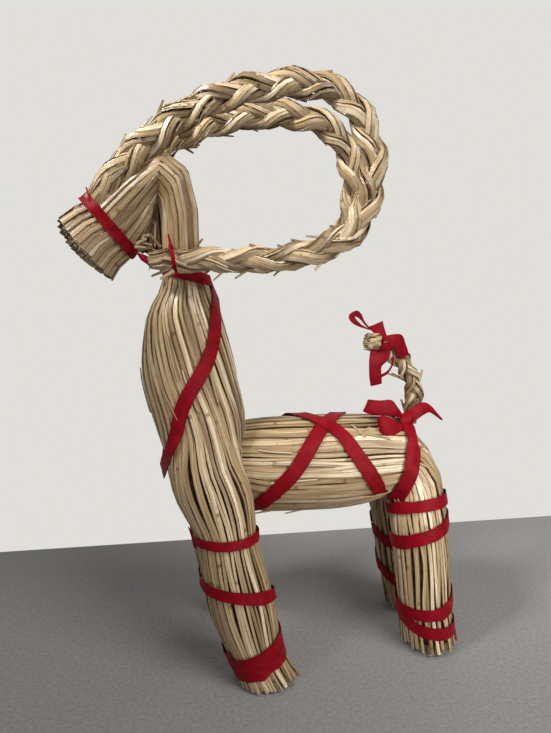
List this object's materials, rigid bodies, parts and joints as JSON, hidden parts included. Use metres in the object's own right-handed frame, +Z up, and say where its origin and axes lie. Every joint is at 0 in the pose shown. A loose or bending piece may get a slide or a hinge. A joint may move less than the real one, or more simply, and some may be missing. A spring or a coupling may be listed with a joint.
{
  "type": "straw goat ornament",
  "caption": "Standing goat of bundled straw with looped plaited horns and an upright plaited tail, bound with narrow ribbon; it rests on its feet.",
  "frame": {"origin": "middle of the underside of the bounding box, on the surface that the feet stand on", "axes": "+Z up, -X the way the goat looks, -Y the goat's left side"},
  "size_m": [0.2834, 0.1289, 0.3991],
  "materials": {
    "straw": "satin",
    "plaited_straw": "satin",
    "red_ribbon": "satin"
  },
  "bodies": {
    "root": {"head_neck_and_front_legs": "straw", "body_and_hind_legs": "straw", "left_horn": "plaited_straw", "right_horn": "plaited_straw", "tail": "plaited_straw", "muzzle_ribbon": "red_ribbon", "neck_ribbon": "red_ribbon", "body_ribbon": "red_ribbon", "rump_ribbon": "red_ribbon", "tail_ribbon": "red_ribbon", "left_front_leg_ribbon": "red_ribbon", "right_front_leg_ribbon": "red_ribbon", "left_hind_leg_ribbon": "red_ribbon", "right_hind_leg_ribbon": "red_ribbon"}
  },
  "joints": []
}
